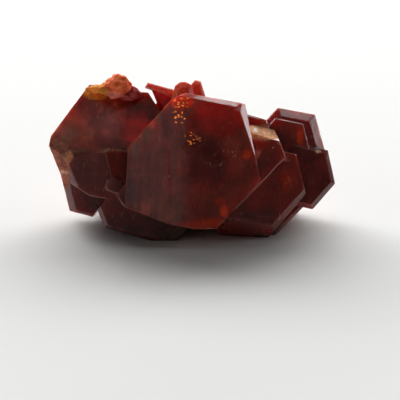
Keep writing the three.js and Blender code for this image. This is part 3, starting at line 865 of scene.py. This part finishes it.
def vanadiniteMaterial(look):
    # Vanadinite, adamantine lead vanadate: orange where thin, deep red and nearly black where
    # thick, with veils of cloud inside and a hard bright gloss from its high refractive index.
    material, tree = newMaterial("vanadinite")
    tint, cloud, dull, drawn, spark, edgeWearAndHighlight, vein = (
        addNode(tree, "Attribute", attribute_name=label).outputs["Color" if label == "tint" else "Fac"]
        for label in ("tint", "cloud", "dull", "drawn", "spark", "edgeWearAndHighlight", "vein"))
    place = addNode(tree, "TexCoord").outputs["Object"]
    upright = addNode(tree, "Mapping", {
        "Vector": place, "Rotation": (math.radians(specimen["leanBack"]), 0, 0)}).outputs[0]
    stretched, strokes = (
        addNode(tree, "Mapping", {"Vector": upright, "Scale": look[label]}).outputs[0]
        for label in ("streakStretch", "scratchStretch"))
    # The patterns: veils, grains, growth streaks up a face and short pale scratches along them.
    mottle, grain, streak, stroke = (
        addNode(tree, "TexNoise", {
            "Vector": vector, "Scale": 1 / (look[label] * mm), "Detail": detail,
            "Distortion": distortion}).outputs["Fac"]
        for label, vector, detail, distortion in (
            ("mottleSize", place, 3.0, 0.0), ("grainSize", place, 2.0, 0.0),
            ("streakSize", stretched, 2.0, 0.0), ("scratchSize", strokes, 1.0, 0.6)))
    # Flakes of inner fracture, flat cells of which more are lit the higher the sparkle is, and motes,
    # rare pale specks. A flake is a painted orange glint in the colour, and also a tilted metallic mirror
    # that catches the top bar.
    flat = addNode(tree, "Mapping", {
        "Vector": upright, "Rotation": (-math.pi / 2, 0, 0), "Scale": look["flakeStretch"]}).outputs[0]
    cells = addNode(tree, "TexVoronoi", {"Vector": flat, "Scale": 1 / (look["flakeSize"] * mm)},
                    voronoi_dimensions="2D")
    dust = addNode(tree, "TexVoronoi", {"Vector": place, "Scale": 1 / (look["moteSize"] * mm)})
    flakeChance, moteChance = (
        addNode(tree, "SeparateColor", {"Color": found.outputs["Color"]}).outputs[0]
        for found in (cells, dust))
    level = combined(tree, "MULTIPLY_ADD", spark, 0.5, flakeChance)
    made = {}
    for label, pattern in {
            "veil": mottle, "line": streak, "crumb": grain, "patchy": grain, "scratch": stroke,
            "few": moteChance, "speck": dust.outputs["Distance"], "lit": level,
            "spot": cells.outputs["Distance"]}.items():
        made[label] = addNode(
            tree, "MapRange", {"Value": pattern, **dict(zip(rangeEnds, look[label]))},
            interpolation_type="SMOOTHSTEP" if label == "spot" else "LINEAR").outputs[0]
    flake, mote = (
        combined(tree, "MULTIPLY", made[one], made[other])
        for one, other in (("lit", "spot"), ("few", "speck")))
    # The body: its pigment, clouded by the mottle and drawn through by streaks and grain.
    lines = combined(tree, "MULTIPLY_ADD", made["line"], drawn, 1.0)
    clouded = combined(tree, "MULTIPLY", made["veil"], lines)
    shade = combined(tree, "MULTIPLY", clouded, made["crumb"])
    body = addNode(tree, "VectorMath", {0: tint, "Scale": shade}, operation="SCALE").outputs[0]
    # Worn edges, veins, scratches and motes are paler and duller than the body; the pale edges are partly
    # a painted highlight.
    sharp = combined(tree, "POWER", edgeWearAndHighlight, look["wearAndHighlightFall"])
    wearAndHighlight, healed = (combined(tree, "MULTIPLY", mark, made["patchy"]) for mark in (sharp, vein))
    edge = wearAndHighlight
    for mark in (healed, made["scratch"], mote):
        edge = combined(tree, "MAXIMUM", edge, mark)
    pale = addNode(tree, "Mix", {"A": body, "B": linear(look["wearAndHighlight"]), "Factor": edge},
                   data_type="RGBA")
    # Painted glints: the flakes are mixed in as bright orange.
    colour = addNode(tree, "Mix", {"A": socket(pale.outputs, "Result"), "B": linear(look["flake"]),
                                   "Factor": flake}, data_type="RGBA", clamp_result=True)
    milky = combined(tree, "MULTIPLY", cloud, clouded, use_clamp=True)
    for mark in (flake, edge):
        milky = combined(tree, "MAXIMUM", milky, mark)
    clear = combined(tree, "SUBTRACT", 1.0, milky)
    rough = combined(tree, "MULTIPLY_ADD", edge, 0.5, dull)
    gloss = addNode(tree, "MapRange", {
        "Value": rough, "To Min": look["gloss"][0], "To Max": look["gloss"][1]}).outputs[0]
    finish = addNode(tree, "Mix", {"A": gloss, "B": look["flakeRoughness"], "Factor": flake}).outputs[0]
    mirror = combined(tree, "MULTIPLY", flake, look["flakeMirror"])
    heights = combined(tree, "MULTIPLY_ADD", grain, 0.5, streak)
    bump = addNode(tree, "Bump", {
        "Height": heights, "Strength": look["bumpStrength"], "Distance": look["bumpDepth"]})
    # A flake's own face leans off the crystal's, each one a little differently.
    spread = addNode(tree, "VectorMath", {0: cells.outputs["Color"], 1: (-0.5,) * 3}).outputs[0]
    loose = addNode(tree, "VectorMath", {
        0: spread, 1: (look["flakeSpread"],) * 3, 2: look["flakeTilt"]},
        operation="MULTIPLY_ADD").outputs[0]
    lean = addNode(tree, "VectorMath", {0: loose, "Scale": flake}, operation="SCALE").outputs[0]
    leaning = addNode(tree, "VectorMath", {0: bump.outputs[0], 1: lean}).outputs[0]
    facing = addNode(tree, "VectorMath", {0: leaning}, operation="NORMALIZE").outputs[0]
    surface = addNode(tree, "BsdfPrincipled", {
        "Base Color": socket(colour.outputs, "Result"), "Roughness": finish, "IOR": look["ior"],
        "Metallic": mirror, "Transmission Weight": clear, "Normal": facing,
        "Subsurface Weight": 1.0, "Subsurface Radius": look["scatterReach"],
        "Subsurface Scale": look["scatterScale"],
    })
    inside = addNode(tree, "VolumeAbsorption", {
        "Color": (*look["absorbed"], 1.0), "Density": look["density"]})
    addNode(tree, "OutputMaterial", {"Surface": surface.outputs[0], "Volume": inside.outputs[0]})
    return material


crust = {
    "grainSize": 0.22,  # mm, of the crumbs that make the crust up
    "blotchSize": 0.8,  # mm, of its lighter and darker places
    "roughness": 0.85,
    "specular": 0.15,
    "scatterReach": (1.0, 0.4, 0.2),
    "scatterScale": 0.0006,  # metres
    "scatterShare": 0.6,
    "bumpDepth": 0.0001,  # metres
    "bumpStrength": 0.6,
    "fine": (0.35, 0.65, 0.74, 1.3),  # two values of a pattern, and the factors made of them
    "broad": (0.35, 0.65, 0.8, 1.24),
}


def crustMaterial(look):
    # Iron-stained crust of tiny vanadinite and limonite crumbs: matt, uneven, orange to ochre.
    material, tree = newMaterial("ironStainedCrust")
    tint = addNode(tree, "Attribute", attribute_name="tint").outputs["Color"]
    place = addNode(tree, "TexCoord").outputs["Object"]
    grain, blotch = (
        addNode(tree, "TexNoise", {
            "Vector": place, "Scale": 1 / (look[label] * mm), "Detail": detail}).outputs["Fac"]
        for label, detail in (("grainSize", 3.0), ("blotchSize", 2.0)))
    fine, broad = (
        addNode(tree, "MapRange", {"Value": pattern, **dict(zip(rangeEnds, look[label]))}).outputs[0]
        for label, pattern in (("fine", grain), ("broad", blotch)))
    shade = combined(tree, "MULTIPLY", fine, broad)
    colour = addNode(tree, "VectorMath", {0: tint, "Scale": shade}, operation="SCALE").outputs[0]
    bump = addNode(tree, "Bump", {
        "Height": grain, "Strength": look["bumpStrength"], "Distance": look["bumpDepth"]})
    surface = addNode(tree, "BsdfPrincipled", {
        "Base Color": colour, "Roughness": look["roughness"], "Specular IOR Level": look["specular"],
        "Normal": bump.outputs[0], "Subsurface Weight": look["scatterShare"],
        "Subsurface Radius": look["scatterReach"], "Subsurface Scale": look["scatterScale"],
    })
    addNode(tree, "OutputMaterial", {"Surface": surface.outputs[0]})
    return material


cluster.data.materials[0] = vanadiniteMaterial(vanadinite)
cluster.data.materials[1] = crustMaterial(crust)
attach(cluster, "root")
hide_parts("crystal_cluster")


# The paper, and the even dim light of the room, which has no colour of its own.
stage = {
    "paper": "#f4f4f2",
    "paperRoughness": 0.9,
    "width": 6.0,  # metres of floor each way
    "turnUp": 2.6,  # how far behind the specimen the paper curves up
    "bend": 0.2,  # radius of that curve
    "room": 0.008,
}

# Soft boxes that face the specimen: strong ones stand behind it, weaker ones above it and on its
# left, and small cards, a bar and a panel are there to be mirrored in its faces. Places and sizes
# are metres, powers watts.
lights = {
    "backBox": {"at": (-0.03, 0.77, 0.64), "size": (1.5, 0.36), "power": 10.8},
    "lowBox": {"at": (-0.03, 0.98, 0.21), "size": (0.9, 0.3), "power": 4.8},
    "leftBack": {"at": (-0.63, 0.7, 0.33), "size": (0.6, 0.36), "power": 5.0},
    "rightBack": {"at": (0.62, 0.69, 0.375), "size": (0.6, 0.36), "power": 3.5},
    "highBox": {"at": (-0.28, 0.34, 0.9), "size": (0.36, 0.36), "power": 0.5},
    "leftFill": {"at": (-0.82, -0.38, 0.42), "size": (0.5, 0.4), "power": 0.35},
    "topBar": {"at": (0.25, 0.18, 0.95), "size": (0.09, 0.09), "power": 0.16},
    "topPanel": {"at": (0.0, -0.24, 0.95), "size": (0.75, 0.22), "power": 0.07},
    "rightCard": {"at": (0.94, 0.12, 0.29), "size": (0.24, 0.22), "power": 0.8},
    "card": {"at": (-0.105, -0.74, 0.27), "size": (0.06, 0.4), "power": 0.021},
    "dimCard": {"at": (0.03, -0.74, 0.27), "size": (0.22, 0.4), "power": 0.009},
}


def paperMaterial():
    # Matt white paper: even and soft, with no gloss.
    material, tree = newMaterial("whitePaper")
    surface = addNode(tree, "BsdfPrincipled", {
        "Base Color": linear(stage["paper"]), "Roughness": stage["paperRoughness"]})
    addNode(tree, "OutputMaterial", {"Surface": surface.outputs[0]})
    return material


def paperSweep():
    # A flat sheet that curves up at the back: the profile (along, up) is a line, a quarter round
    # and a wall, carried straight across.
    half, back, bend = stage["width"] / 2, stage["turnUp"], stage["bend"]
    turn = np.linspace(0, math.pi / 2, 13)
    along = np.concatenate([[-half], back + bend * np.sin(turn), [back + bend]])
    up = np.concatenate([[0], bend - bend * np.cos(turn), [bend + 0.5]])
    points = np.concatenate([np.stack([np.full(len(along), side), along, up], 1)
                             for side in (-half, half)])
    low = np.arange(len(along) - 1)
    high = low + len(along)
    quads = np.stack([low, high, high + 1, low + 1], 1)
    sheet = meshObject("paperSweep", points, halved(quads))
    sheet.data.polygons.foreach_set("use_smooth", np.ones(len(sheet.data.polygons), bool))
    sheet.data.materials.append(paperMaterial())


def aimed(name, data, eye, target):
    # A light or a camera at one place, aimed at another.
    made = bpy.data.objects.new(name, data)
    made.location = eye
    made.rotation_euler = (Vector(target) - Vector(eye)).to_track_quat("-Z", "Y").to_euler()
    bpy.context.scene.collection.objects.link(made)
    return made


def addSoftbox(name, look, aim=(0, 0, 0.005)):
    light = bpy.data.lights.new(name, "AREA")
    light.shape = "RECTANGLE"
    light.size, light.size_y = look["size"]
    light.energy = look["power"]
    aimed(name, light, look["at"], aim)


def studioWorld():
    world = bpy.data.worlds.new("studio")
    world.use_nodes = True
    tree = world.node_tree
    tree.nodes.clear()
    background = addNode(tree, "Background", {"Strength": stage["room"]})
    addNode(tree, "OutputWorld", {"Surface": background.outputs[0]})
    bpy.context.scene.world = world


paperSweep()
studioWorld()
for name, look in lights.items():
    addSoftbox(name, look)
print("stage and lights:", len(lights), "soft boxes")

# The camera: millimetres from the broad face, the point it aims at in the growth frame, and how
# large a millimetre of that face is in a picture of this many pixels.
view = {"distance": 114.0, "aim": (0.65, 0.0, -3.32), "pixelsPerMm": 13.1, "frame": 400}


def addCamera():
    # The camera faces the broad face squarely, so it looks down as far as that face looks up.
    camera = bpy.data.cameras.new("camera")
    camera.sensor_width = 36.0
    camera.lens = camera.sensor_width * view["distance"] * view["pixelsPerMm"] / view["frame"]
    camera.clip_start, camera.clip_end = 0.001, 10.0
    eye, target = inFrame(np.array([(0, -view["distance"], 0), view["aim"]]))
    bpy.context.scene.camera = aimed("camera", camera, eye, target)


addCamera()
bpy.context.scene.view_settings.view_transform = "Standard"
